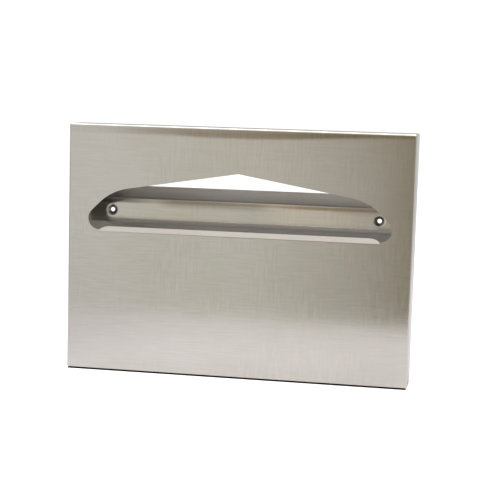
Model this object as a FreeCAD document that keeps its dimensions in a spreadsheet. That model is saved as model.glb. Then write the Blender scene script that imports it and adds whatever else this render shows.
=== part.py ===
import FreeCAD, Part
import Sketcher
import math
import os

# Toilet seat cover dispenser: a thin box of stainless sheet that hangs on a wall.
# X runs along the wall, the front panel faces -Y and Z is up. The origin is the middle of
# the bottom face, so the wall plane lies half the box depth behind it. Sizes are millimetres.

doc = FreeCAD.newDocument("seat_cover_dispenser")


# Driving dimensions

SIZES = [
    ("box_width", 406.4, "overall width along the wall"),
    ("box_height", 292.1, "overall height"),
    ("box_depth", 50.8, "wall plane to front panel"),
    ("gauge", 0.8, "sheet thickness of both pieces"),
    ("bend_radius", 2.4, "outside radius of every press-brake bend"),
    ("rim_width", 10.0, "rim turned in along the wall side"),
    ("mitre_gap", 0.6, "slit between two rims at a corner"),
    ("front_ledge", 14.0, "bottom sheet left in front of the loading cut-out"),
    ("end_ledge", 31.2, "bottom sheet left at each end of that cut-out"),
    ("fill_corner", 5.0, "corner radius of that cut-out"),
    ("slope_angle", 9.5, "fall of the opening's upper edges"),
    ("end_angle", 45.0, "fall of the edge where it meets the end lobe"),
    ("shoulder_radius", 63.0, "curve between those two falls"),
    ("lobe_radius", 13.1, "round end of the opening"),
    ("lobe_margin", 37.6, "side of the box in to a round end's centre"),
    ("lobe_drop", 110.6, "top of the box down to the round ends' centres"),
    ("peak_rise", 58.1, "those centres up to the peak of the opening"),
    ("lip_drop", 2.7, "lobe bottom down to the lip's bend line"),
    ("lip_relief", 0.4, "lobe centre in to the lip's end"),
    ("lip_length", 6.1, "flat part of the lip"),
    ("lip_angle", 30.0, "lean of the lip away from the panel"),
    ("lip_corner", 19.0, "rounded ends of the lip"),
    ("screw_rise", 7.3, "lobe centres up to the wall screws"),
    ("screw_inset", 4.5, "lobe centre in to the wall screw"),
    ("screw_hole", 5.0, "hole diameter for a number 8 or 10 screw"),
    ("dimple_mouth", 12.6, "dimple diameter at the bar's face"),
    ("dimple_floor", 6.2, "dimple diameter at the foot of its cone"),
    ("dimple_depth", 3.0, "how far the screw head sinks"),
    ("dimple_round", 2.4, "rolled edge of the dimple's mouth"),
    ("bar_reach", 10.0, "bar's face in front of the rim it sits on"),
    ("web_height", 28.6, "face of the bar between its two long bends"),
    ("web_flat", 20.8, "middle of that face, between the corners of its margins"),
    ("web_fall", 0.6, "how far each margin falls back to its bend"),
    ("web_roll", 36.0, "soft curve between the middle and a margin"),
    ("leg_spread", 15.0, "height covered by each sloping leg"),
    ("leg_setback", 3.0, "leg ends kept clear of the side wall's bend"),
    ("tab_height", 15.0, "end tab welded to the side wall"),
    ("tab_setback", 2.2, "end tab kept clear of the rim"),
]


def make_sheet():
    sheet = doc.addObject("Spreadsheet::Sheet", "sizes")
    for row, (name, value, meaning) in enumerate(SIZES, start=1):
        sheet.set("A%d" % row, name)
        sheet.set("B%d" % row, str(value))
        sheet.set("C%d" % row, meaning)
        sheet.setAlias("B%d" % row, name)
    doc.recompute()
    return sheet


sheet = make_sheet()

# Places that several features share, as expressions on the sheet

HALF_WIDTH = "sizes.box_width / 2"
HALF_DEPTH = "sizes.box_depth / 2"
INNER_HALF_WIDTH = "(sizes.box_width / 2 - sizes.gauge)"
LOBE_SIDE = "(sizes.box_width / 2 - sizes.lobe_margin)"
LOBE_HEIGHT = "(sizes.box_height - sizes.lobe_drop)"
PEAK_HEIGHT = "(%s + sizes.peak_rise)" % LOBE_HEIGHT
LOBE_BOTTOM = "(%s - sizes.lobe_radius)" % LOBE_HEIGHT
LIP_BASE = "(%s - sizes.lip_drop)" % LOBE_BOTTOM
LIP_END = "(%s - sizes.lip_relief)" % LOBE_SIDE
LIP_LEAN = "(sizes.lip_angle * 1 deg)"
LIP_TOP = "(%s + sizes.bend_radius * sin(%s) + sizes.lip_length * cos(%s))" % (LIP_BASE, LIP_LEAN, LIP_LEAN)
BAR_HEIGHT = "(%s + sizes.screw_rise)" % LOBE_HEIGHT
BAR_SEAT = "(sizes.box_depth / 2 - sizes.gauge)"
BAR_FACE = "(sizes.box_depth / 2 - sizes.gauge - sizes.bar_reach)"
SCREW_SIDE = "(%s - sizes.screw_inset)" % LOBE_SIDE


def number(expression):
    value = sheet.evalExpression(expression)
    return float(getattr(value, "Value", value))


# Sketch helpers

def new_body(name):
    body = doc.addObject("PartDesign::Body", name)
    body.Label = name
    return body


def origin_plane(body, role):
    return next(item for item in body.Origin.OriginFeatures if item.Role == role)


def new_sketch(body, name, role, offset=None):
    """A sketch on one of the body's origin planes, moved along the plane's normal."""
    sketch = body.newObject("Sketcher::SketchObject", name)
    sketch.AttachmentSupport = [(origin_plane(body, role), "")]
    sketch.MapMode = "FlatFace"
    if offset is not None:
        sketch.setExpression("AttachmentOffset.Base.z", offset)
    return sketch


def dimension(sketch, kind, references, expression):
    """A dimensional constraint whose value follows the sheet."""
    value = number(expression)
    if kind == "Angle":
        value = math.radians(value)
    index = sketch.addConstraint(Sketcher.Constraint(kind, *references, value))
    sketch.setExpression("Constraints[%d]" % index, expression)


def place_point(sketch, piece, end, across, up):
    """Holds one end of a sketch line at two distances from the sketch's origin."""
    if across == "0":
        sketch.addConstraint(Sketcher.Constraint("PointOnObject", piece, end, -2))
    else:
        dimension(sketch, "DistanceX", (-1, 1, piece, end), across)
    if up == "0":
        sketch.addConstraint(Sketcher.Constraint("PointOnObject", piece, end, -1))
    else:
        dimension(sketch, "DistanceY", (-1, 1, piece, end), up)


def draw_polygon(sketch, corners):
    """A closed outline of straight lines, each corner given as two expressions."""
    points = [FreeCAD.Vector(number(across), number(up), 0) for across, up in corners]
    count = len(points)
    lines = [
        sketch.addGeometry(Part.LineSegment(points[i], points[(i + 1) % count]))
        for i in range(count)
    ]
    for i, (across, up) in enumerate(corners):
        sketch.addConstraint(Sketcher.Constraint("Coincident", lines[i - 1], 2, lines[i], 1))
        place_point(sketch, lines[i], 1, across, up)


def draw_rectangle(sketch, left, bottom, right, top):
    draw_polygon(sketch, [(left, bottom), (right, bottom), (right, top), (left, top)])


# Feature helpers

def symmetric_pad(body, name, sketch, length):
    pad = body.newObject("PartDesign::Pad", name)
    pad.Profile = sketch
    pad.SideType = "Symmetric"
    pad.setExpression("Length", length)
    return pad


def through_cut(body, name, sketch):
    """A cut along the sketch's normal, both ways, through whatever stands there."""
    pocket = body.newObject("PartDesign::Pocket", name)
    pocket.Profile = sketch
    pocket.Type = "ThroughAll"
    pocket.SideType = "Symmetric"
    return pocket


def blind_cut(body, name, sketch, length, reverse):
    pocket = body.newObject("PartDesign::Pocket", name)
    pocket.Profile = sketch
    pocket.Reversed = reverse
    pocket.setExpression("Length", length)
    return pocket


def mirror_left(body, name, features):
    """Repeats right-hand features on the left and makes them part of the body."""
    mirror = body.newObject("PartDesign::Mirrored", name)
    mirror.Originals = features
    mirror.MirrorPlane = (origin_plane(body, "YZ_Plane"), [""])
    body.Tip = mirror
    return mirror


def round_edges(body, name, base, edges, radius):
    fillet = body.newObject("PartDesign::Fillet", name)
    fillet.Base = (base, edges)
    fillet.setExpression("Radius", radius)
    return fillet


def edge_names(feature, wanted):
    """Names of the feature's edges that pass the test."""
    edges = feature.Shape.Edges
    return ["Edge%d" % (i + 1) for i, edge in enumerate(edges) if wanted(edge)]


def face_names(feature, wanted):
    faces = feature.Shape.Faces
    return ["Face%d" % (i + 1) for i, face in enumerate(faces) if wanted(face)]


def near(first, second):
    return abs(first - second) < 0.01


# Front cover: panel, four walls and rim from one sheet, seams welded and polished

def rounded_block(name, inset, radius):
    """A closed block with every edge rounded, as far inside the box as the inset."""
    body = new_body(name)
    sketch = new_sketch(body, name + "_outline", "XZ_Plane")
    side = "(sizes.box_width / 2 - %s)" % inset
    top = "(sizes.box_height - %s)" % inset
    draw_rectangle(sketch, "-" + side, inset, side, top)
    pad = symmetric_pad(body, name + "_block", sketch, "sizes.box_depth - 2 * %s" % inset)
    doc.recompute()
    round_edges(body, name + "_bends", pad, edge_names(pad, lambda edge: True), radius)
    return body


def hollow_box():
    cover = rounded_block("front_cover", "0", "sizes.bend_radius")
    space = rounded_block("paper_space", "sizes.gauge", "sizes.bend_radius - sizes.gauge")
    hollow = cover.newObject("PartDesign::Boolean", "hollow")
    hollow.Type = "Cut"
    hollow.setObjects([space])
    doc.recompute()
    return cover


def open_wall_side(cover):
    """Leaves only the narrow rim of the sheet on the wall side, slit at its mitred corners."""
    side = "(sizes.box_width / 2 - sizes.rim_width)"
    top = "(sizes.box_height - sizes.rim_width)"
    behind = "-sizes.box_depth / 2"

    window = new_sketch(cover, "wall_window", "XZ_Plane", behind)
    draw_rectangle(window, "-" + side, "sizes.rim_width", side, top)
    blind_cut(cover, "wall_side", window, "2 * sizes.gauge", True)

    slits = new_sketch(cover, "mitre_outline", "XZ_Plane", behind)
    half_slit = "0.7071 * sizes.mitre_gap"
    end = "(sizes.box_width / 2 - sizes.bend_radius)"
    levels = [
        (top, "(sizes.box_height - sizes.bend_radius)"),
        ("sizes.rim_width", "sizes.bend_radius"),
    ]
    for start, finish in levels:
        corners = [
            ("(%s - %s)" % (side, half_slit), start),
            ("(%s + %s)" % (side, half_slit), start),
            ("(%s + %s)" % (end, half_slit), finish),
            ("(%s - %s)" % (end, half_slit), finish),
        ]
        draw_polygon(slits, corners)
    mitre = blind_cut(cover, "mitre", slits, "2 * sizes.gauge", True)
    mirror_left(cover, "mitre_left", [mitre])


def cut_fill_slot(cover):
    """Opens the bottom towards the wall; ledges at the front and both ends hold the stack."""
    sketch = new_sketch(cover, "fill_outline", "XY_Plane")
    side = "(sizes.box_width / 2 - sizes.end_ledge)"
    front = "(sizes.front_ledge - sizes.box_depth / 2)"
    draw_rectangle(sketch, "-" + side, front, side, "(sizes.box_depth / 2 + 1)")
    cut = blind_cut(cover, "fill_slot", sketch, "sizes.rim_width + 1", True)
    doc.recompute()

    half_width = number(side)
    front_edge = number(front)

    def at_corner(edge):
        middle = edge.CenterOfMass
        upright = near(edge.BoundBox.XLength, 0) and near(edge.BoundBox.YLength, 0)
        return upright and near(abs(middle.x), half_width) and near(middle.y, front_edge)

    round_edges(cover, "fill_corners", cut, edge_names(cut, at_corner), "sizes.fill_corner")


def draw_opening(sketch):
    """The right half of the opening: slope, shoulder, steep end, round lobe, lip relief."""
    slope = math.radians(number("sizes.slope_angle"))
    steep = math.radians(number("sizes.end_angle"))
    shoulder = number("sizes.shoulder_radius")
    lobe = number("sizes.lobe_radius")
    lobe_centre = FreeCAD.Vector(number(LOBE_SIDE), number(LOBE_HEIGHT), 0)
    peak = FreeCAD.Vector(0, number(PEAK_HEIGHT), 0)
    lip_end = FreeCAD.Vector(number(LIP_END), number(LIP_BASE), 0)
    lip_middle = FreeCAD.Vector(0, number(LIP_BASE), 0)

    along_slope = FreeCAD.Vector(math.cos(slope), -math.sin(slope), 0)
    along_steep = FreeCAD.Vector(math.cos(steep), -math.sin(steep), 0)
    steep_end = lobe_centre + lobe * FreeCAD.Vector(math.sin(steep), math.cos(steep), 0)
    to_steep = steep_end - peak
    run = (to_steep.x * along_steep.y - to_steep.y * along_steep.x) / math.sin(slope - steep)
    meeting = peak + along_slope * run
    tangent = shoulder * math.tan((steep - slope) / 2)
    slope_end = meeting - along_slope * tangent
    steep_start = meeting + along_steep * tangent
    shoulder_centre = slope_end - shoulder * FreeCAD.Vector(math.sin(slope), math.cos(slope), 0)

    up = FreeCAD.Vector(0, 0, 1)
    quarter = math.pi / 2
    shoulder_circle = Part.Circle(shoulder_centre, up, shoulder)
    lobe_circle = Part.Circle(lobe_centre, up, lobe)
    slope_line = sketch.addGeometry(Part.LineSegment(slope_end, peak))
    shoulder_arc = sketch.addGeometry(Part.ArcOfCircle(shoulder_circle, quarter - steep, quarter - slope))
    steep_line = sketch.addGeometry(Part.LineSegment(steep_end, steep_start))
    lobe_arc = sketch.addGeometry(Part.ArcOfCircle(lobe_circle, -quarter, quarter - steep))
    lobe_bottom = lobe_centre - FreeCAD.Vector(0, lobe, 0)
    relief = sketch.addGeometry(Part.LineSegment(lobe_bottom, lip_end))
    base = sketch.addGeometry(Part.LineSegment(lip_end, lip_middle))
    middle = sketch.addGeometry(Part.LineSegment(lip_middle, peak))

    rules = [
        ("Tangent", slope_line, 1, shoulder_arc, 2),
        ("Tangent", shoulder_arc, 1, steep_line, 2),
        ("Tangent", steep_line, 1, lobe_arc, 2),
        ("Coincident", lobe_arc, 1, relief, 1),
        ("Coincident", relief, 2, base, 1),
        ("Coincident", base, 2, middle, 1),
        ("Coincident", middle, 2, slope_line, 2),
        ("Horizontal", base),
        ("PointOnObject", middle, 1, -2),
        ("PointOnObject", middle, 2, -2),
        ("Vertical", lobe_arc, 1, lobe_arc, 3),
    ]
    for rule in rules:
        sketch.addConstraint(Sketcher.Constraint(*rule))
    dimension(sketch, "DistanceY", (-1, 1, middle, 2), PEAK_HEIGHT)
    dimension(sketch, "Angle", (slope_line,), "180 - sizes.slope_angle")
    dimension(sketch, "Radius", (shoulder_arc,), "sizes.shoulder_radius")
    dimension(sketch, "Angle", (steep_line,), "180 - sizes.end_angle")
    dimension(sketch, "Radius", (lobe_arc,), "sizes.lobe_radius")
    dimension(sketch, "DistanceX", (-1, 1, lobe_arc, 3), LOBE_SIDE)
    dimension(sketch, "DistanceY", (-1, 1, lobe_arc, 3), LOBE_HEIGHT)
    dimension(sketch, "DistanceX", (-1, 1, relief, 2), LIP_END)
    dimension(sketch, "DistanceY", (-1, 1, relief, 2), LIP_BASE)


def cut_opening(cover):
    sketch = new_sketch(cover, "opening_outline", "XZ_Plane")
    draw_opening(sketch)
    half = through_cut(cover, "opening", sketch)
    mirror_left(cover, "opening_left", [half])


def draw_lip_section(sketch):
    """The sheet bends away from the panel round a small arc and ends in a short flat."""
    lean = math.radians(number("sizes.lip_angle"))
    outer = number("sizes.bend_radius")
    inner = outer - number("sizes.gauge")
    flat = number("sizes.lip_length")
    centre = FreeCAD.Vector(outer - number(HALF_DEPTH), number(LIP_BASE), 0)
    outward = FreeCAD.Vector(-math.cos(lean), math.sin(lean), 0)
    along = FreeCAD.Vector(math.sin(lean), math.cos(lean), 0)
    front_foot = centre - FreeCAD.Vector(outer, 0, 0)
    back_foot = centre - FreeCAD.Vector(inner, 0, 0)
    front_bend = centre + outward * outer
    back_bend = centre + outward * inner

    normal = FreeCAD.Vector(0, 0, 1)
    start = math.pi - lean
    front_arc = sketch.addGeometry(Part.ArcOfCircle(Part.Circle(centre, normal, outer), start, math.pi))
    front_flat = sketch.addGeometry(Part.LineSegment(front_bend, front_bend + along * flat))
    edge = sketch.addGeometry(Part.LineSegment(front_bend + along * flat, back_bend + along * flat))
    back_flat = sketch.addGeometry(Part.LineSegment(back_bend + along * flat, back_bend))
    back_arc = sketch.addGeometry(Part.ArcOfCircle(Part.Circle(centre, normal, inner), start, math.pi))
    foot = sketch.addGeometry(Part.LineSegment(back_foot, front_foot))

    rules = [
        ("Tangent", front_arc, 1, front_flat, 1),
        ("Coincident", front_flat, 2, edge, 1),
        ("Coincident", edge, 2, back_flat, 1),
        ("Tangent", back_flat, 2, back_arc, 1),
        ("Coincident", back_arc, 2, foot, 1),
        ("Coincident", foot, 2, front_arc, 2),
        ("Coincident", front_arc, 3, back_arc, 3),
        ("Horizontal", foot),
        ("Horizontal", front_arc, 2, front_arc, 3),
        ("Perpendicular", front_flat, edge),
    ]
    for rule in rules:
        sketch.addConstraint(Sketcher.Constraint(*rule))
    dimension(sketch, "Radius", (front_arc,), "sizes.bend_radius")
    dimension(sketch, "Radius", (back_arc,), "sizes.bend_radius - sizes.gauge")
    dimension(sketch, "Distance", (front_flat,), "sizes.lip_length")
    dimension(sketch, "Angle", (front_flat,), "90 - sizes.lip_angle")
    dimension(sketch, "DistanceX", (-1, 1, front_arc, 2), "-sizes.box_depth / 2")
    dimension(sketch, "DistanceY", (-1, 1, front_arc, 2), LIP_BASE)


def draw_lip_corner(sketch):
    """What is trimmed off the lip's right end, so that it sweeps down into the lobe."""
    radius = number("sizes.lip_corner")
    rise = number(LIP_TOP) - number(LOBE_BOTTOM)
    end = FreeCAD.Vector(number(LIP_END), number(LOBE_BOTTOM), 0)
    reach = math.sqrt(radius ** 2 - (radius - rise) ** 2)
    centre = FreeCAD.Vector(end.x - reach, end.y + rise - radius, 0)
    crest = centre + FreeCAD.Vector(0, radius, 0)
    beyond = FreeCAD.Vector(1, 0, 0)
    above = FreeCAD.Vector(0, 1, 0)
    corner = FreeCAD.Vector(end.x, crest.y, 0) + beyond + above

    circle = Part.Circle(centre, FreeCAD.Vector(0, 0, 1), radius)
    low_angle = math.atan2(end.y - centre.y, end.x - centre.x)
    arc = sketch.addGeometry(Part.ArcOfCircle(circle, low_angle, math.pi / 2))
    rise_line = sketch.addGeometry(Part.LineSegment(crest, crest + above))
    top_line = sketch.addGeometry(Part.LineSegment(crest + above, corner))
    side_line = sketch.addGeometry(Part.LineSegment(corner, end + beyond))
    foot_line = sketch.addGeometry(Part.LineSegment(end + beyond, end))

    rules = [
        ("Coincident", arc, 2, rise_line, 1),
        ("Coincident", rise_line, 2, top_line, 1),
        ("Coincident", top_line, 2, side_line, 1),
        ("Coincident", side_line, 2, foot_line, 1),
        ("Coincident", foot_line, 2, arc, 1),
        ("Vertical", arc, 2, arc, 3),
        ("Vertical", rise_line),
        ("Horizontal", top_line),
        ("Vertical", side_line),
        ("Horizontal", foot_line),
    ]
    for rule in rules:
        sketch.addConstraint(Sketcher.Constraint(*rule))
    dimension(sketch, "Radius", (arc,), "sizes.lip_corner")
    dimension(sketch, "DistanceX", (-1, 1, foot_line, 2), LIP_END)
    dimension(sketch, "DistanceY", (-1, 1, foot_line, 2), LOBE_BOTTOM)
    dimension(sketch, "DistanceY", (-1, 1, rise_line, 1), LIP_TOP)
    dimension(sketch, "DistanceY", (rise_line, 1, rise_line, 2), "1")
    dimension(sketch, "DistanceX", (foot_line, 2, foot_line, 1), "1")


def add_lip(cover):
    section = new_sketch(cover, "lip_section", "YZ_Plane")
    draw_lip_section(section)
    symmetric_pad(cover, "lip", section, "2 * " + LIP_END)
    trimming = new_sketch(cover, "lip_corner_outline", "XZ_Plane")
    draw_lip_corner(trimming)
    trim = through_cut(cover, "lip_corner", trimming)
    mirror_left(cover, "lip_corner_left", [trim])


def make_front_cover():
    cover = hollow_box()
    open_wall_side(cover)
    cut_fill_slot(cover)
    cut_opening(cover)
    add_lip(cover)
    doc.recompute()
    return cover


# Mounting bar: a hat section across the box, its legs seated on the side rims

def long_edges(feature, depth):
    """The feature's edges that run along the bar at that depth."""
    place = number(depth)

    def runs_there(edge):
        middle = edge.CenterOfMass
        return near(middle.y, place) and near(middle.x, 0)

    return edge_names(feature, runs_there)


def bend_trough():
    bar = new_body("mounting_bar")
    sketch = new_sketch(bar, "hat_outline", "YZ_Plane")
    low = "(%s - sizes.web_height / 2)" % BAR_HEIGHT
    high = "(%s + sizes.web_height / 2)" % BAR_HEIGHT
    fallen = "(%s + sizes.web_fall)" % BAR_FACE
    corners = [
        (BAR_SEAT, "(%s - sizes.leg_spread)" % low),
        (fallen, low),
        (BAR_FACE, "(%s - sizes.web_flat / 2)" % BAR_HEIGHT),
        (BAR_FACE, "(%s + sizes.web_flat / 2)" % BAR_HEIGHT),
        (fallen, high),
        (BAR_SEAT, "(%s + sizes.leg_spread)" % high),
    ]
    draw_polygon(sketch, corners)
    length = "2 * (%s - sizes.leg_setback)" % INNER_HALF_WIDTH
    block = symmetric_pad(bar, "hat_block", sketch, length)
    doc.recompute()

    rolls = round_edges(bar, "web_rolls", block, long_edges(block, BAR_FACE), "sizes.web_roll")
    doc.recompute()
    bends = round_edges(bar, "hat_bends", rolls, long_edges(rolls, fallen), "sizes.bend_radius")
    doc.recompute()

    seat = number(BAR_SEAT)
    end = number(length) / 2

    def is_open(one):
        middle = one.CenterOfMass
        return near(middle.y, seat) or near(abs(middle.x), end)

    trough = bar.newObject("PartDesign::Thickness", "hat_sheet")
    trough.Base = (bends, face_names(bends, is_open))
    trough.setExpression("Value", "sizes.gauge")
    trough.Reversed = True
    trough.Join = "Intersection"
    doc.recompute()
    return bar


def draw_end_tab(sketch):
    """Plan of the right end: the web runs on, turns back and lies against the side wall."""
    outer = number("sizes.bend_radius")
    inner = outer - number("sizes.gauge")
    gauge = number("sizes.gauge")
    wall = number(INNER_HALF_WIDTH)
    face = number(BAR_FACE)
    root = number("%s - sizes.leg_setback - 2" % INNER_HALF_WIDTH)
    tip = number("%s - sizes.tab_setback" % BAR_SEAT)
    centre = FreeCAD.Vector(wall - outer, face + outer, 0)
    points = [
        FreeCAD.Vector(root, face, 0),
        FreeCAD.Vector(wall - outer, face, 0),
        FreeCAD.Vector(wall, face + outer, 0),
        FreeCAD.Vector(wall, tip, 0),
        FreeCAD.Vector(wall - gauge, tip, 0),
        FreeCAD.Vector(wall - gauge, face + outer, 0),
        FreeCAD.Vector(wall - outer, face + gauge, 0),
        FreeCAD.Vector(root, face + gauge, 0),
    ]
    normal = FreeCAD.Vector(0, 0, 1)
    three_quarters = 1.5 * math.pi
    outer_circle = Part.Circle(centre, normal, outer)
    inner_circle = Part.Circle(centre, normal, inner)
    front = sketch.addGeometry(Part.LineSegment(points[0], points[1]))
    outer_arc = sketch.addGeometry(Part.ArcOfCircle(outer_circle, three_quarters, 2 * math.pi))
    outside = sketch.addGeometry(Part.LineSegment(points[2], points[3]))
    end = sketch.addGeometry(Part.LineSegment(points[3], points[4]))
    inside = sketch.addGeometry(Part.LineSegment(points[4], points[5]))
    inner_arc = sketch.addGeometry(Part.ArcOfCircle(inner_circle, three_quarters, 2 * math.pi))
    back = sketch.addGeometry(Part.LineSegment(points[6], points[7]))
    start = sketch.addGeometry(Part.LineSegment(points[7], points[0]))

    rules = [
        ("Tangent", front, 2, outer_arc, 1),
        ("Tangent", outer_arc, 2, outside, 1),
        ("Coincident", outside, 2, end, 1),
        ("Coincident", end, 2, inside, 1),
        ("Tangent", inside, 2, inner_arc, 2),
        ("Tangent", inner_arc, 1, back, 1),
        ("Coincident", back, 2, start, 1),
        ("Coincident", start, 2, front, 1),
        ("Coincident", outer_arc, 3, inner_arc, 3),
        ("Horizontal", front),
        ("Vertical", outside),
        ("Horizontal", end),
        ("Vertical", start),
    ]
    for rule in rules:
        sketch.addConstraint(Sketcher.Constraint(*rule))
    dimension(sketch, "Radius", (outer_arc,), "sizes.bend_radius")
    dimension(sketch, "Radius", (inner_arc,), "sizes.bend_radius - sizes.gauge")
    dimension(sketch, "DistanceX", (-1, 1, outside, 2), INNER_HALF_WIDTH)
    dimension(sketch, "DistanceY", (-1, 1, outside, 2), "%s - sizes.tab_setback" % BAR_SEAT)
    place_point(sketch, front, 1, "%s - sizes.leg_setback - 2" % INNER_HALF_WIDTH, BAR_FACE)


def add_end_tabs(bar):
    sketch = new_sketch(bar, "end_tab_outline", "XY_Plane", BAR_HEIGHT)
    draw_end_tab(sketch)
    tab = symmetric_pad(bar, "end_tab", sketch, "sizes.tab_height")
    mirror_left(bar, "end_tab_left", [tab])


def turned_section(bar, name, mouth, floor, shift):
    """Half section of a dimple cone, drawn in plan beside the right-hand screw's axis."""
    sketch = new_sketch(bar, name, "XY_Plane", BAR_HEIGHT)
    near_face = "(%s + %s)" % (BAR_FACE, shift)
    far_face = "(%s + sizes.dimple_depth)" % near_face
    corners = [
        (SCREW_SIDE, near_face),
        ("(%s + %s)" % (SCREW_SIDE, mouth), near_face),
        ("(%s + %s)" % (SCREW_SIDE, floor), far_face),
        (SCREW_SIDE, far_face),
    ]
    draw_polygon(sketch, corners)
    return sketch


def spin(bar, kind, name, sketch):
    """Turns a section round its fourth line, which lies on the screw's axis."""
    feature = bar.newObject(kind, name)
    feature.Profile = sketch
    feature.ReferenceAxis = (sketch, ["Edge4"])
    feature.Angle = 360
    return feature


def press_dimples(bar):
    """Sinks the sheet round each screw so that no head stands proud of the bar."""
    flank = "sizes.gauge * tan(atan2(sizes.dimple_depth; (sizes.dimple_mouth - sizes.dimple_floor) / 2) / 2)"
    back_mouth = "(sizes.dimple_mouth / 2 + %s)" % flank
    back_floor = "(sizes.dimple_floor / 2 + %s)" % flank
    back = turned_section(bar, "dimple_back_section", back_mouth, back_floor, "sizes.gauge")
    boss = spin(bar, "PartDesign::Revolution", "dimple_back", back)
    front = turned_section(bar, "dimple_section", "sizes.dimple_mouth / 2", "sizes.dimple_floor / 2", "0")
    hollow = spin(bar, "PartDesign::Groove", "dimple", front)

    outline = new_sketch(bar, "screw_hole_outline", "XZ_Plane")
    centre = FreeCAD.Vector(number(SCREW_SIDE), number(BAR_HEIGHT), 0)
    circle = Part.Circle(centre, FreeCAD.Vector(0, 0, 1), number("sizes.screw_hole / 2"))
    hole = outline.addGeometry(circle)
    dimension(outline, "DistanceX", (-1, 1, hole, 3), SCREW_SIDE)
    dimension(outline, "DistanceY", (-1, 1, hole, 3), BAR_HEIGHT)
    dimension(outline, "Diameter", (hole,), "sizes.screw_hole")
    bore = through_cut(bar, "screw_hole", outline)
    mirror = mirror_left(bar, "dimple_left", [boss, hollow, bore])
    doc.recompute()

    mouth = number("sizes.dimple_mouth / 2")
    face = number(BAR_FACE)

    def at_mouth(edge):
        round_edge = hasattr(edge.Curve, "Radius") and near(edge.Curve.Radius, mouth)
        return round_edge and near(edge.CenterOfMass.y, face)

    round_edges(bar, "dimple_rolled", mirror, edge_names(mirror, at_mouth), "sizes.dimple_round")


def make_mounting_bar():
    bar = bend_trough()
    add_end_tabs(bar)
    press_dimples(bar)
    doc.recompute()
    return bar


# Checks and files

def check_document(pieces):
    doc.recompute()
    for item in doc.Objects:
        if "Invalid" in item.State or "Error" in item.State:
            raise RuntimeError("%s failed: %s" % (item.Name, item.State))
    for piece in pieces:
        shape = piece.Shape
        if shape.isNull() or not shape.isValid() or len(shape.Solids) != 1:
            raise RuntimeError("%s isn't one valid solid" % piece.Label)


def check_cuts():
    """Each cut has to take some sheet away, and each added form has to add some."""
    growing = ("PartDesign::Pad", "PartDesign::Revolution")
    shrinking = ("PartDesign::Pocket", "PartDesign::Groove", "PartDesign::Boolean")
    for item in doc.Objects:
        base = getattr(item, "BaseFeature", None)
        if base is None or item.TypeId not in growing + shrinking:
            continue
        change = item.Shape.Volume - base.Shape.Volume
        if (change > 0) != (item.TypeId in growing) or abs(change) < 0.01:
            raise RuntimeError("%s changed the volume by %.3f" % (item.Name, change))


pieces = [make_front_cover(), make_mounting_bar()]
check_document(pieces)
check_cuts()
os.makedirs("parts", exist_ok=True)
for piece in pieces:
    piece.Shape.exportStep("parts/%s.step" % piece.Label)
    box = piece.Shape.BoundBox
    print(piece.Label, "volume %.1f" % piece.Shape.Volume, box)
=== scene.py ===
import bpy
import math
from mathutils import Matrix, Vector


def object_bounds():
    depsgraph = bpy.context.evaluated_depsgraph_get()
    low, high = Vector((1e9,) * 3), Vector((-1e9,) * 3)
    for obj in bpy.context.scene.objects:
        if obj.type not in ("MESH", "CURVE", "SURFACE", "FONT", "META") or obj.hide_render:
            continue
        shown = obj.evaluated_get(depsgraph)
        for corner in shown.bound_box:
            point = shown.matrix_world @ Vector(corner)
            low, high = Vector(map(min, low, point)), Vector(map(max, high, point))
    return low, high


# A toilet seat cover dispenser of satin stainless sheet, standing on a pale studio floor.
# Metres. X runs along the wall, the front panel faces -Y, Z is up.

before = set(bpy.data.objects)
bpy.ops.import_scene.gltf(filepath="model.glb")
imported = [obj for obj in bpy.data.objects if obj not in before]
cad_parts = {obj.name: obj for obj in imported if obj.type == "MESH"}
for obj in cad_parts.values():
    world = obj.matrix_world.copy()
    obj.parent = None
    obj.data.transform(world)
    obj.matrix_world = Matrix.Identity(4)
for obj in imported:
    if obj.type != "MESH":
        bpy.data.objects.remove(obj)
cad_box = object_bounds()

HALF_WIDTH = cad_box[1][0]
FRONT = cad_box[0][1]
BACK = cad_box[1][1]
HEIGHT = cad_box[1][2]


# Camera

# Degrees, the lens in millimetres, and the way from the middle of the front panel to the camera
# along the camera's own axes: right, up and back. They come from a fit of the box's edges.
CAMERA_PITCH = 6.717
CAMERA_YAW = -10.04
CAMERA_ROLL = -1.646
CAMERA_OFFSET = (0.01605, 0.0056, 1.53206)
SENSOR_WIDTH = 36.0
LENS = 95.06
CLIP_START = 0.05
CLIP_END = 60.0


def photo_camera():
    """The photograph's camera: to the right of the box and a little above it."""
    tilt = Matrix.Rotation(math.radians(CAMERA_PITCH), 3, "X")
    turn = Matrix.Rotation(math.radians(CAMERA_YAW), 3, "Y")
    seen = Matrix.Rotation(math.radians(CAMERA_ROLL), 3, "Z") @ tilt @ turn
    upright = Matrix(((1, 0, 0), (0, 0, -1), (0, 1, 0)))
    panel_middle = Vector((0, FRONT, HEIGHT / 2))
    place = panel_middle + upright @ (seen.transposed() @ Vector(CAMERA_OFFSET))
    data = bpy.data.cameras.new("photo_camera")
    data.sensor_width = SENSOR_WIDTH
    data.lens = LENS
    data.clip_start = CLIP_START
    data.clip_end = CLIP_END
    camera = bpy.data.objects.new("photo_camera", data)
    camera.matrix_world = Matrix.Translation(place) @ (upright @ seen.transposed()).to_4x4()
    bpy.context.scene.collection.objects.link(camera)
    bpy.context.scene.camera = camera


photo_camera()


# Node helpers

# A Mix node's first value socket and its output socket, by the kind of value.
MIX_SOCKETS = {"RGBA": (6, 2), "FLOAT": (2, 0)}


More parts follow.
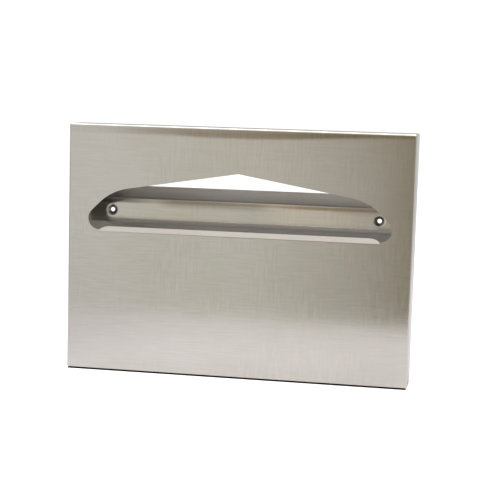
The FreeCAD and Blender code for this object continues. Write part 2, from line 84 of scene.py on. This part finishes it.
class Graph:
    """Short names for the nodes of one material or world."""

    def __init__(self, tree):
        self.tree = tree
        self.tree.nodes.clear()

    def node(self, kind, **settings):
        made = self.tree.nodes.new(kind)
        for key, value in settings.items():
            setattr(made, key, value)
        return made

    def feed(self, socket, value):
        """Links an output to the socket, or sets the socket to a plain value."""
        if isinstance(value, bpy.types.NodeSocket):
            self.tree.links.new(value, socket)
        else:
            socket.default_value = value

    def math(self, operation, a, b=0.0):
        made = self.node("ShaderNodeMath", operation=operation)
        for socket, value in zip(made.inputs, (a, b)):
            self.feed(socket, value)
        return made.outputs[0]

    def times(self, product, *factors):
        for factor in factors:
            product = self.math("MULTIPLY", product, factor)
        return product

    def plus(self, total, *terms):
        for term in terms:
            total = self.math("ADD", total, term)
        return total

    def less(self, total, *terms):
        for term in terms:
            total = self.math("SUBTRACT", total, term)
        return total

    def absolute(self, value):
        return self.math("ABSOLUTE", value)

    def vector(self, operation, a, b=(0, 0, 0)):
        made = self.node("ShaderNodeVectorMath", operation=operation)
        self.feed(made.inputs[0], a)
        if operation == "SCALE":
            self.feed(made.inputs["Scale"], b)
        else:
            self.feed(made.inputs[1], b)
        return made.outputs["Value" if operation == "DOT_PRODUCT" else "Vector"]

    def split(self, vector):
        made = self.node("ShaderNodeSeparateXYZ")
        self.feed(made.inputs[0], vector)
        return made.outputs[0], made.outputs[1], made.outputs[2]

    def ramp(self, value, low, high, to_low=0.0, to_high=1.0):
        """A smooth step from to_low to to_high."""
        made = self.node("ShaderNodeMapRange", interpolation_type="SMOOTHSTEP")
        for socket, number in zip(made.inputs, (value, low, high, to_low, to_high)):
            self.feed(socket, number)
        return made.outputs[0]

    def mix(self, factor, a, b, kind="RGBA"):
        """Blends two colours, or two numbers where kind is FLOAT."""
        first, result = MIX_SOCKETS[kind]
        made = self.node("ShaderNodeMix", data_type=kind)
        self.feed(made.inputs[0], factor)
        self.feed(made.inputs[first], a)
        self.feed(made.inputs[first + 1], b)
        return made.outputs[result]

    def number_mix(self, factor, a, b):
        return self.mix(factor, a, b, "FLOAT")

    def noise(self, vector, scale, detail=2.0, roughness=0.5):
        made = self.node("ShaderNodeTexNoise")
        self.feed(made.inputs["Vector"], vector)
        self.feed(made.inputs["Scale"], scale)
        self.feed(made.inputs["Detail"], detail)
        self.feed(made.inputs["Roughness"], roughness)
        return made.outputs["Fac"]

    def drawn_noise(self, spot, cells, detail, roughness):
        """Noise with its own number of cells in a metre along X, Y and Z."""
        return self.noise(self.vector("MULTIPLY", spot, cells), 1.0, detail, roughness)


# Below, a row of numbers is a smooth step, unless a comment or its name says otherwise: where it
# starts and ends, then the value before and after. A shorter row gets the rest where it is used,
# or else goes from 0 to 1. A row that is named a tint or a colour is one by channel.

# Room

# The room is given by direction: x to the right, y to the wall, z up. The panel mirrors it.
# First its brightness by height, and what is taken off towards the wall.
ROOM_UPWARD = (0.45, 0.70, 0.76, 0.95)
ROOM_WALL_SIDE = (0.2, 0.9, 0.0, 0.10)

# The dark area in front, on the side of the photograph's camera: its lower and its upper part.
LOW_DARK = (-0.19, 0.03, 0.0, 0.55)
LOW_MARGIN = (-0.08, -0.04, 0.0, 0.07)
LOW_MARGIN_UPWARD = (-0.14, -0.09, 0.1, 1.0)
LOW_UPWARD = (-0.15, -0.07, 0.96, 1.0)
HIGH_DARK = (-0.30, -0.215, 0.0, 0.40)
HIGH_CORE = (-0.20, -0.11, 0.0, 0.12)
HIGH_UPWARD = (0.12, 0.28, 1.0, 0.60)
LOW_TO_HIGH = (-0.03, 0.08)

# A thin amber veil beside the lower part.
VEIL = (-0.30, -0.20, 0.0, 0.040)
VEIL_FADE = (-0.16, -0.09, 1.0, 0.3)

# Where the whole dark area is weaker or ends.
DARK_RIGHT = (-0.03, 0.10, 1.0, 0.62)
DARK_RIGHT_END = (0.72, 0.92, 1.0, 0.0)
DARK_TOP_END = (0.18, 0.58, 1.0, 0.0)
DARK_BACK_END = (-0.45, 0.0, 1.0, 0.0)

# Two more dark stretches in front: low down, and far to the left.
FLOOR_DARK = (-0.16, -0.10, 0.04, 0.0)
FAR_LEFT_DARK = (-0.80, -0.50, 0.22, 0.0)

# The room's tint, what the dark area takes at its left and at its right, what is given back just
# under the horizon and above it, and what the veil takes.
ROOM_TINT = (1.0, 0.995, 0.98)
DARK_TINT_LEFT = (1.0, 1.06, 1.165)
DARK_TINT_RIGHT = (1.0, 1.02, 1.06)
BELOW_TINT = (0.050, 0.038, 0.036)
ABOVE_TINT = (0.0, -0.022, -0.012)
VEIL_TINT = (0.0, 0.0, 0.9)
TINT_CHANGE = (-0.04, 0.06)
GIVEN_BACK = (-0.10, -0.03)
BELOW_TO_ABOVE = (-0.02, 0.04)

# The white that the camera sees behind everything.
PAPER_WHITE = 1.05


def darkness_ahead(g, x, y, z, veil):
    """How much light the dark area in front takes from the room."""
    margin = g.times(g.ramp(x, *LOW_MARGIN), g.ramp(z, *LOW_MARGIN_UPWARD))
    lower = g.times(g.plus(g.ramp(x, *LOW_DARK), margin), g.ramp(z, *LOW_UPWARD))
    lower = g.plus(lower, veil)
    upper = g.plus(g.ramp(x, *HIGH_DARK), g.ramp(x, *HIGH_CORE))
    upper = g.times(upper, g.ramp(z, *HIGH_UPWARD))
    dark = g.number_mix(g.ramp(z, *LOW_TO_HIGH), lower, upper)
    dark = g.times(dark, g.ramp(x, *DARK_RIGHT), g.ramp(x, *DARK_RIGHT_END), g.ramp(z, *DARK_TOP_END))
    dark = g.plus(dark, g.ramp(z, *FLOOR_DARK), g.ramp(x, *FAR_LEFT_DARK))
    return g.times(dark, g.ramp(y, *DARK_BACK_END))


def studio_world():
    """A pale room with a warm dark area in front. The camera sees plain white paper instead."""
    world = bpy.data.worlds.new("studio")
    world.use_nodes = True
    g = Graph(world.node_tree)
    x, y, z = g.split(g.node("ShaderNodeTexCoord").outputs["Generated"])
    level = g.less(g.ramp(z, *ROOM_UPWARD), g.ramp(y, *ROOM_WALL_SIDE))
    veil = g.times(g.ramp(x, *VEIL), g.ramp(x, *VEIL_FADE))
    dark = darkness_ahead(g, x, y, z, veil)
    raised = g.ramp(z, *GIVEN_BACK)
    colour = g.node("ShaderNodeCombineColor")
    tints = zip(ROOM_TINT, DARK_TINT_LEFT, DARK_TINT_RIGHT, BELOW_TINT, ABOVE_TINT, VEIL_TINT)
    for socket, (tint, left, right, below, above, amber) in zip(colour.inputs[:3], tints):
        given = g.times(raised, g.ramp(z, *BELOW_TO_ABOVE, below, above))
        taken = g.less(g.times(dark, g.ramp(x, *TINT_CHANGE, left, right)), given)
        taken = g.plus(taken, g.times(veil, amber))
        g.feed(socket, g.less(g.times(level, tint), taken))
    room = g.node("ShaderNodeBackground")
    g.feed(room.inputs["Color"], colour.outputs[0])
    paper = g.node("ShaderNodeBackground")
    paper.inputs["Color"].default_value = (1, 1, 1, 1)
    paper.inputs["Strength"].default_value = PAPER_WHITE
    choose = g.node("ShaderNodeMixShader")
    g.feed(choose.inputs[0], g.node("ShaderNodeLightPath").outputs["Is Camera Ray"])
    g.feed(choose.inputs[1], room.outputs[0])
    g.feed(choose.inputs[2], paper.outputs[0])
    out = g.node("ShaderNodeOutputWorld")
    g.feed(out.inputs["Surface"], choose.outputs[0])
    bpy.context.scene.world = world


# Lamp

SOFT_BOX_PLACE = (-0.1, -0.1, 1.7)
SOFT_BOX_TARGET = (-0.1, -0.1, 0)
SOFT_BOX_SIZE = (1.8, 1.1)
SOFT_BOX_POWER = 17.0


def soft_box(name, place, target, size, power):
    data = bpy.data.lights.new(name, "AREA")
    data.shape = "RECTANGLE"
    data.size, data.size_y = size
    data.energy = power
    lamp = bpy.data.objects.new(name, data)
    aim = Vector(target) - Vector(place)
    lamp.matrix_world = Matrix.Translation(place) @ aim.to_track_quat("-Z", "Y").to_matrix().to_4x4()
    bpy.context.scene.collection.objects.link(lamp)


# Floor

# Its front edge is just outside the photograph.
FLOOR_LEFT, FLOOR_RIGHT, FLOOR_FRONT, FLOOR_BACK = -3.0, 3.0, -0.43, 4.0

# The paper's brightness: a faint noise, then painted shade, darker towards the front and the left. On
# the right the painted shade comes to a level of its own, by place from front to back.
PAPER_NOISE_CELLS = 3.0
PAPER_NOISE = (0.2, 0.8, 0.835, 0.855)
PAPER_FRONT_SHADE = (-0.40, -0.05, 0.91, 1.0)
PAPER_LEFT_SHADE = (-0.32, -0.06, 0.82, 1.0)
PAPER_RIGHT_SHADE = (0.06, 0.19, 1.0)
PAPER_RIGHT_SHADE_LEVEL = (-0.30, -0.12, 1.03, 0.92)
PAPER_TINT = (1.0, 1.0, 1.04)
PAPER_ROUGHNESS = 0.9

# Light of its own: what the camera alone sees, and a painted pool of light that grows towards the box's
# foot.
CAMERA_GLOW = 0.5
FOOT_GLOW_GROWTH = 18.0
FOOT_GLOW = (-0.020, 0.0, 0.24, 0.0)

# A painted contact shadow, dark on the floor where the box bears on it: within its outline, on the front
# ledge and both end ledges.
# In front the dark reaches 1 to 3 mm further, as the photograph's contact shadow does.
CONTACT_SHADOW_SIDE = (HALF_WIDTH - 0.0017, HALF_WIDTH - 0.0002, 1.0, 0.0)
CONTACT_SHADOW_FRONT = (FRONT - 0.0031, FRONT - 0.0008)
CONTACT_SHADOW_BACK = (BACK - 0.0014, BACK - 0.0002, 1.0, 0.0)
FRONT_LEDGE = (-0.0135, -0.0115, 1.0, 0.0)
END_LEDGE = (0.170, 0.173)


def painted_contact_shadow(g, across, along):
    """Painted contact shadow: 1 on the floor where the bottom sheet bears on it, which is where no light
    comes.
    """
    aside = g.absolute(across)
    within = g.times(g.ramp(aside, *CONTACT_SHADOW_SIDE), g.ramp(along, *CONTACT_SHADOW_FRONT))
    within = g.times(within, g.ramp(along, *CONTACT_SHADOW_BACK))
    ledges = g.math("MAXIMUM", g.ramp(along, *FRONT_LEDGE), g.ramp(aside, *END_LEDGE))
    return g.times(within, ledges)


def floor_paper():
    material = bpy.data.materials.new("floor_paper")
    material.use_nodes = True
    g = Graph(material.node_tree)
    spot = g.node("ShaderNodeTexCoord").outputs["Object"]
    across, along, _ = g.split(spot)
    # 1 where the floor has no painted contact shadow. The paper's tone and its glow are kept only there.
    unshadowed_floor = g.less(1.0, painted_contact_shadow(g, across, along))
    shade = g.ramp(g.noise(spot, PAPER_NOISE_CELLS), *PAPER_NOISE)
    # Painted shade: darker towards the front and the left, and at a level of its own on the right.
    shade = g.times(shade, g.ramp(along, *PAPER_FRONT_SHADE), g.ramp(across, *PAPER_LEFT_SHADE))
    shade = g.times(shade, g.ramp(across, *PAPER_RIGHT_SHADE, g.ramp(along, *PAPER_RIGHT_SHADE_LEVEL)), unshadowed_floor)
    tone = g.node("ShaderNodeCombineColor")
    for socket, tint in zip(tone.inputs[:3], PAPER_TINT):
        g.feed(socket, g.times(shade, tint))
    surface = g.node("ShaderNodeBsdfPrincipled")
    surface.inputs["Roughness"].default_value = PAPER_ROUGHNESS
    surface.inputs["Emission Color"].default_value = (1, 1, 1, 1)
    g.feed(surface.inputs["Base Color"], tone.outputs[0])
    seen = g.times(g.node("ShaderNodeLightPath").outputs["Is Camera Ray"], CAMERA_GLOW)
    # A painted pool of light on the floor, growing towards the box's foot.
    near = g.times(g.less(along, FRONT), FOOT_GLOW_GROWTH)
    near = g.math("EXPONENT", g.math("MINIMUM", near, 0.0))
    near = g.times(near, g.ramp(along, *FOOT_GLOW))
    g.feed(surface.inputs["Emission Strength"], g.times(g.plus(near, seen), unshadowed_floor))
    out = g.node("ShaderNodeOutputMaterial")
    g.feed(out.inputs["Surface"], surface.outputs[0])
    return material


def pale_floor():
    """One white sheet under the object."""
    mesh = bpy.data.meshes.new("floor")
    front_corners = [(FLOOR_LEFT, FLOOR_FRONT, 0), (FLOOR_RIGHT, FLOOR_FRONT, 0)]
    back_corners = [(FLOOR_RIGHT, FLOOR_BACK, 0), (FLOOR_LEFT, FLOOR_BACK, 0)]
    mesh.from_pydata(front_corners + back_corners, [], [(0, 1, 2, 3)])
    floor = bpy.data.objects.new("floor", mesh)
    bpy.context.scene.collection.objects.link(floor)
    floor.data.materials.append(floor_paper())


studio_world()
soft_box("overhead_box", SOFT_BOX_PLACE, SOFT_BOX_TARGET, SOFT_BOX_SIZE, SOFT_BOX_POWER)
pale_floor()


# Front faces

# A face of the object is a front one when its normal's Y is below this.
FRONT_FACING = -0.95


def faces_front(g, normal):
    return g.math("LESS_THAN", g.split(normal)[1], FRONT_FACING)


# Cover

# The lean starts at this height, which changes along the width, and comes in two steps.
LEAN_START = (-0.09, -0.03, 0.2790, 0.2774)
LEAN_START_RIGHT = (0.0, 0.20, 0.0, 0.0064)
LEAN_FIRST = (0.0, 0.006, 0.0, 0.06)
LEAN_SECOND = (0.007, 0.010, 0.0, 0.05)


def cover_lean(g, spot, normal):
    """Leans the panel's shading normal up under the top bend, for a soft roll that the mesh lacks."""
    across, _, height = g.split(spot)
    start = g.plus(g.ramp(across, *LEAN_START), g.ramp(across, *LEAN_START_RIGHT))
    above = g.less(height, start)
    lean = g.plus(g.ramp(above, *LEAN_FIRST), g.ramp(above, *LEAN_SECOND))
    return g.vector("SCALE", (0, 0, 1), g.times(lean, faces_front(g, normal)))


# Bar

# Most of the bar's colour below is painted light and shade.
# The bar is painted by place to follow the photograph. In its steps 1 is plain steel, less is
# darker and more is lighter.

# How far each screw hole is from the middle and from the floor.
SCREW_ASIDE = 0.1611
SCREW_HEIGHT = 0.1888

# Painted shade beside the two long bends, each band by its height and half width, how dark it is, and
# the share of the half width that is darkest.
BEND_SHADE_BANDS = ((0.1742, 0.0018), (0.2044, 0.0014))
BEND_SHADE_TONE = 0.75
BEND_SHADE_CORE = 0.2

# How far a normal points up or down on a sloping leg, and not on the face.
LEG_SLOPE = (0.25, 0.40)
# Painted light and shade on the sloping legs: on the upper leg lighter to the right and higher up, with
# a cooler tint, and on the lower leg lighter to the left.
UPPER_LEG_SHADING_ACROSS = (-0.12, 0.0, 0.97, 1.19)
UPPER_LEG_SHADING_UPWARD = (0.2020, 0.2190, 0.80, 1.33)
UPPER_LEG_SHADING_TINT = (1.04, 1.065, 1.09, 1)
LOWER_LEG_SHADING_ACROSS = (-0.155, -0.120, 1.45, 0.82)

# The face's painted light and shade: painted shade on the lower margin, a painted shaded strip under the
# upper bend with its middle and its right end, painted light and shade on the edge above it, and painted
# light on the right half.
LOWER_MARGIN_SHADE = (0.1748, 0.1832, 0.55, 1.0)
STRIP_HEIGHT = (0.1915, 0.1970, 1.0)
STRIP_MIDDLE_START = (-0.11, -0.085, 0.0, 0.22)
STRIP_MIDDLE_END = (0.01, 0.04, 1.0, 0.0)
STRIP_RIGHT = (0.095, 0.125, 0.0, 0.12)
EDGE_HEIGHT = (0.1970, 0.1990, 1.0)
EDGE_LIGHT_START = (-0.06, 0.015, 1.0, 1.30)
EDGE_LIGHT_END = (0.03, 0.08, 1.0, 0.77)
EDGE_LEFT = (-0.145, -0.105, 0.52, 1.0)
RIGHT_HALF = (0.005, 0.075, 1.0, 1.20)
RIGHT_HALF_UPWARD = (0.1770, 0.1850, 0.5, 1.0)

# The dimples: painted shade within this reach of the screw, less of it on the right of the right one.
DIMPLE_REACH = (0.0048, 0.0064)
DIMPLE_SHADE = (0.1605, 0.1640, 0.42, 1.0)

# A warm stretch of the face, right of the middle.
WARM_STRETCH_START = (0.0, 0.05)
WARM_STRETCH_END = (0.10, 0.15, 1.0, 0.0)
WARM_STRETCH_TINT = (1.025, 1.005, 0.975, 1)


def bend_shade(g, height):
    """Painted shade beside the two long bends, 1 elsewhere."""
    tones = []
    for level, half_width in BEND_SHADE_BANDS:
        away = g.absolute(g.less(height, level))
        tones.append(g.ramp(away, BEND_SHADE_CORE * half_width, half_width, BEND_SHADE_TONE, 1.0))
    return g.times(*tones)


def face_tone(g, across, height):
    """The painted light and shade of the bar's face."""
    middle = g.times(g.ramp(across, *STRIP_MIDDLE_START), g.ramp(across, *STRIP_MIDDLE_END))
    strip = g.less(1.0, middle, g.ramp(across, *STRIP_RIGHT))
    edge = g.times(g.ramp(across, *EDGE_LIGHT_START), g.ramp(across, *EDGE_LIGHT_END))
    edge = g.times(edge, g.ramp(across, *EDGE_LEFT))
    right_half = g.number_mix(g.ramp(height, *RIGHT_HALF_UPWARD), 1.0, g.ramp(across, *RIGHT_HALF))
    return g.times(g.ramp(height, *STRIP_HEIGHT, strip), g.ramp(height, *EDGE_HEIGHT, edge), right_half)


def dimple_shade(g, across, height):
    """Painted shade in the two dimples, 1 elsewhere."""
    beside = g.less(g.absolute(across), SCREW_ASIDE)
    above = g.less(height, SCREW_HEIGHT)
    reach = g.math("SQRT", g.plus(g.times(beside, beside), g.times(above, above)))
    return g.ramp(reach, *DIMPLE_REACH, g.ramp(across, *DIMPLE_SHADE), 1.0)


def bar_tone(g, spot, normal):
    """The bar's colour against plain steel, painted by place to follow the photograph."""
    # Most of this tone is painted light and shade: beside the bends, on the legs, on the face and in the
    # dimples.
    across, _, height = g.split(spot)
    upward = g.split(normal)[2]
    on_upper_leg = g.ramp(upward, *LEG_SLOPE)
    on_lower_leg = g.ramp(g.times(upward, -1.0), *LEG_SLOPE)
    # Painted light and shade on the legs.
    upper_leg_shading = g.times(g.ramp(across, *UPPER_LEG_SHADING_ACROSS), g.ramp(height, *UPPER_LEG_SHADING_UPWARD))
    upper = g.number_mix(on_upper_leg, 1.0, upper_leg_shading)
    on_face = g.number_mix(faces_front(g, normal), 1.0, face_tone(g, across, height))
    # Painted shade on the lower margin, times the face's painted light and shade.
    not_lower_leg = g.times(g.ramp(height, *LOWER_MARGIN_SHADE), on_face)
    lower = g.number_mix(on_lower_leg, not_lower_leg, g.ramp(across, *LOWER_LEG_SHADING_ACROSS))
    tone = g.times(bend_shade(g, height), dimple_shade(g, across, height), g.times(upper, lower))
    warm = g.times(g.ramp(across, *WARM_STRETCH_START), g.ramp(across, *WARM_STRETCH_END))
    warm = g.times(warm, g.less(1.0, g.ramp(g.absolute(upward), *LEG_SLOPE)))
    tint = g.mix(warm, g.mix(on_upper_leg, (1, 1, 1, 1), UPPER_LEG_SHADING_TINT), WARM_STRETCH_TINT)
    return g.vector("SCALE", tint, tone)


# Steel

# Noises: cells in a metre along X, Y and Z, then detail and roughness. Grain and lines run
# level, streaks upright.
GRAIN = ((14.0, 14.0, 1800.0), 3.0, 0.65)
LINES = ((34.0, 34.0, 560.0), 2.0, 0.6)
STREAKS = ((520.0, 520.0, 42.0), 2.0, 0.5)
CLOUD_CELLS = 9.0
CLOUD_DETAIL = 3.0
MOTTLE_CELLS = 70.0
PATCH_CELLS = 22.0
PATCH_DETAIL = 1.0

# Broad clouds blend a steel's two tones, and a fine mottle blends two faint tints. Both blend
# over this part of their noise.
BLEND_RANGE = (0.3, 0.7)
MOTTLE_WARM_TINT = (1.012, 0.994, 1.002, 1)
MOTTLE_COOL_TINT = (0.988, 1.004, 0.996, 1)

# Upright streaks come in patches, more of them to the right and higher up. Lines along the
# width fill the rest, weaker in the upper half.
PATCHES = (0.40, 0.62)
PATCH_SIDE = (-0.15, 0.10, -0.12, 0.06)
PATCH_UPWARD = (0.16, 0.24, 0.0, 0.05)
PATCH_SHARE = 0.5
STREAK_TONE = (0.25, 0.75, -0.038, 0.038)
LINE_TONE = (0.25, 0.75, -0.040, 0.040)
LINE_UPWARD = (0.16, 0.24, 1.0, 0.6)

ANISOTROPY = 0.55
GLANCING_TINT = (0.8, 0.8, 0.8, 1)
GRAIN_RANGE = (0.25, 0.75)
GRAIN_ROUGHNESS = 0.03
STREAK_ROUGHNESS = (0.3, 0.7, -0.008, 0.008)
BUMP_STRENGTH = 0.10
BUMP_DISTANCE = 0.00002

# The cover's inside is duller and paler than its outside.
INSIDE_COLOUR = (0.64, 0.635, 0.625, 1)
INSIDE_SHARE = 0.8
INSIDE_ROUGHNESS = 0.30

# A face whose normal points this far sideways is brushed along Y, and any other along X.
SIDEWAYS = 0.7


def steel_pattern(g, spot, streaks):
    """Faint light and dark: upright streaks in patches and lines along the width."""
    across, _, height = g.split(spot)
    lines = g.drawn_noise(spot, *LINES)
    bias = g.plus(g.ramp(across, *PATCH_SIDE), g.ramp(height, *PATCH_UPWARD))
    patch = g.ramp(g.plus(g.noise(spot, PATCH_CELLS, PATCH_DETAIL), bias), *PATCHES)
    upright = g.times(g.ramp(streaks, *STREAK_TONE), patch)
    rest = g.times(g.less(1.0, g.times(patch, PATCH_SHARE)), g.ramp(height, *LINE_UPWARD))
    return g.plus(upright, g.times(g.ramp(lines, *LINE_TONE), rest), 1.0)


def brushed_steel(name, tone, warm_tone, roughness, dull_inside, own_tone=None, own_lean=None):
    """Satin stainless sheet. A piece's own tone and lean are functions of place and normal."""
    material = bpy.data.materials.new(name)
    material.use_nodes = True
    g = Graph(material.node_tree)
    spot = g.node("ShaderNodeTexCoord").outputs["Object"]
    normal = g.node("ShaderNodeNewGeometry").outputs["Normal"]
    grain = g.drawn_noise(spot, *GRAIN)
    streaks = g.drawn_noise(spot, *STREAKS)

    clouds = g.noise(spot, CLOUD_CELLS, CLOUD_DETAIL)
    mottle = g.mix(g.ramp(g.noise(spot, MOTTLE_CELLS), *BLEND_RANGE), MOTTLE_WARM_TINT, MOTTLE_COOL_TINT)
    satin = g.mix(g.ramp(clouds, *BLEND_RANGE), tone + (1,), warm_tone + (1,))
    satin = g.vector("MULTIPLY", satin, mottle)
    satin = g.vector("SCALE", satin, steel_pattern(g, spot, streaks))
    if own_tone:
        satin = g.vector("MULTIPLY", satin, own_tone(g, spot, normal))

    outward = g.vector("SUBTRACT", spot, (0, 0, HEIGHT / 2))
    inside = g.math("LESS_THAN", g.vector("DOT_PRODUCT", outward, normal), 0.0)
    satin = g.mix(g.times(inside, INSIDE_SHARE * dull_inside), satin, INSIDE_COLOUR)
    rough = g.ramp(grain, *GRAIN_RANGE, roughness - GRAIN_ROUGHNESS, roughness + GRAIN_ROUGHNESS)
    rough = g.plus(rough, g.ramp(streaks, *STREAK_ROUGHNESS))
    rough = g.number_mix(g.times(inside, dull_inside), rough, INSIDE_ROUGHNESS)

    side_wall = g.math("GREATER_THAN", g.absolute(g.split(normal)[0]), SIDEWAYS)
    brushed_along = g.mix(side_wall, (1, 0, 0, 1), (0, 1, 0, 1))
    bump = g.node("ShaderNodeBump")
    bump.inputs["Strength"].default_value = BUMP_STRENGTH
    bump.inputs["Distance"].default_value = BUMP_DISTANCE
    g.feed(bump.inputs["Height"], grain)
    leaned = bump.outputs[0]
    if own_lean:
        leaned = g.vector("NORMALIZE", g.vector("ADD", leaned, own_lean(g, spot, normal)))

    surface = g.node("ShaderNodeBsdfPrincipled")
    surface.inputs["Metallic"].default_value = 1.0
    surface.inputs["Anisotropic"].default_value = ANISOTROPY
    surface.inputs["Specular Tint"].default_value = GLANCING_TINT
    g.feed(surface.inputs["Base Color"], satin)
    g.feed(surface.inputs["Roughness"], rough)
    g.feed(surface.inputs["Tangent"], g.vector("CROSS_PRODUCT", normal, brushed_along))
    g.feed(surface.inputs["Normal"], leaned)
    out = g.node("ShaderNodeOutputMaterial")
    g.feed(out.inputs["Surface"], surface.outputs[0])
    return material


def dress(node, material):
    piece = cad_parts[node]
    piece.data.materials.clear()
    piece.data.materials.append(material)


COVER_STEEL = {
    "tone": (0.635, 0.615, 0.574),
    "warm_tone": (0.615, 0.59, 0.538),
    "roughness": 0.125,
    "dull_inside": 1.0,
    "own_lean": cover_lean,
}
BAR_STEEL = {
    "tone": (0.62, 0.595, 0.55),
    "warm_tone": (0.60, 0.57, 0.49),
    "roughness": 0.15,
    "dull_inside": 0.0,
    "own_tone": bar_tone,
}

dress("front_cover", brushed_steel("cover_steel", **COVER_STEEL))
dress("mounting_bar", brushed_steel("bar_steel", **BAR_STEEL))

bpy.context.scene.view_settings.view_transform = "Standard"
bpy.context.scene.view_settings.look = "None"
